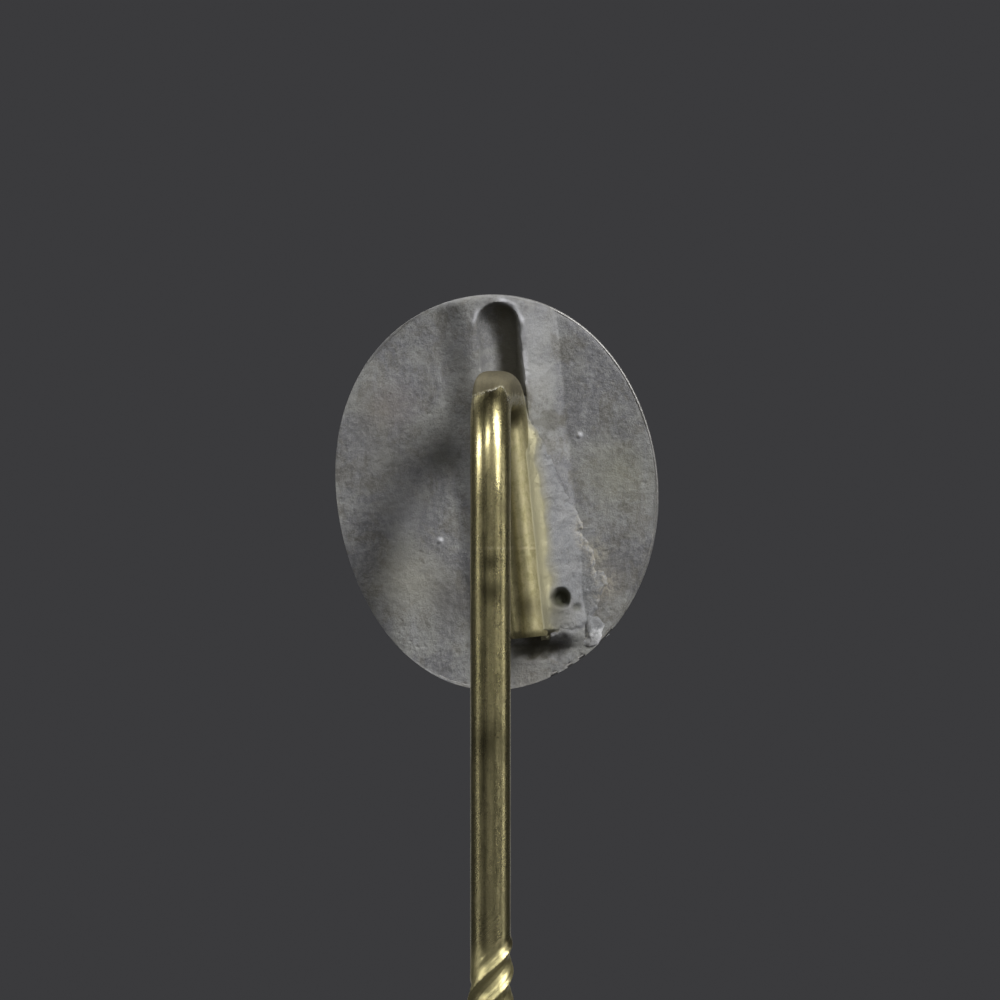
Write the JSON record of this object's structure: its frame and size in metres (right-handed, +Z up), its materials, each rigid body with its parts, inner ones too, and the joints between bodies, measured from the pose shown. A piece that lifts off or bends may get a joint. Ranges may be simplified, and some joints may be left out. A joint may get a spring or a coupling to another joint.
{
  "type": "stickpin",
  "caption": "Stickpin with an oval filled metal head, a wire leg soldered in a channel on its back, a hairpin crook, a twisted grip and a ground point.",
  "frame": {"origin": "on the shank's axis, level with the middle of the head, where the cloth holds the pin", "axes": "+Z up the shank towards the head, +Y out of the head's decorated front, +X to the right seen from the back"},
  "size_m": [0.0081, 0.0057, 0.0634],
  "materials": {
    "aged_brass": "drawn wire, tarnished olive, bright where it is rubbed",
    "cast_white_metal": null,
    "struck_white_metal": "satin white metal, dark in the hollows",
    "solder": "smooth pale grey soft solder"
  },
  "bodies": {
    "root": {"cast_backing": "cast_white_metal", "front_shell": "struck_white_metal", "pin_wire": "aged_brass", "solder_drop": "solder", "solder_fillet": "solder"}
  },
  "joints": []
}
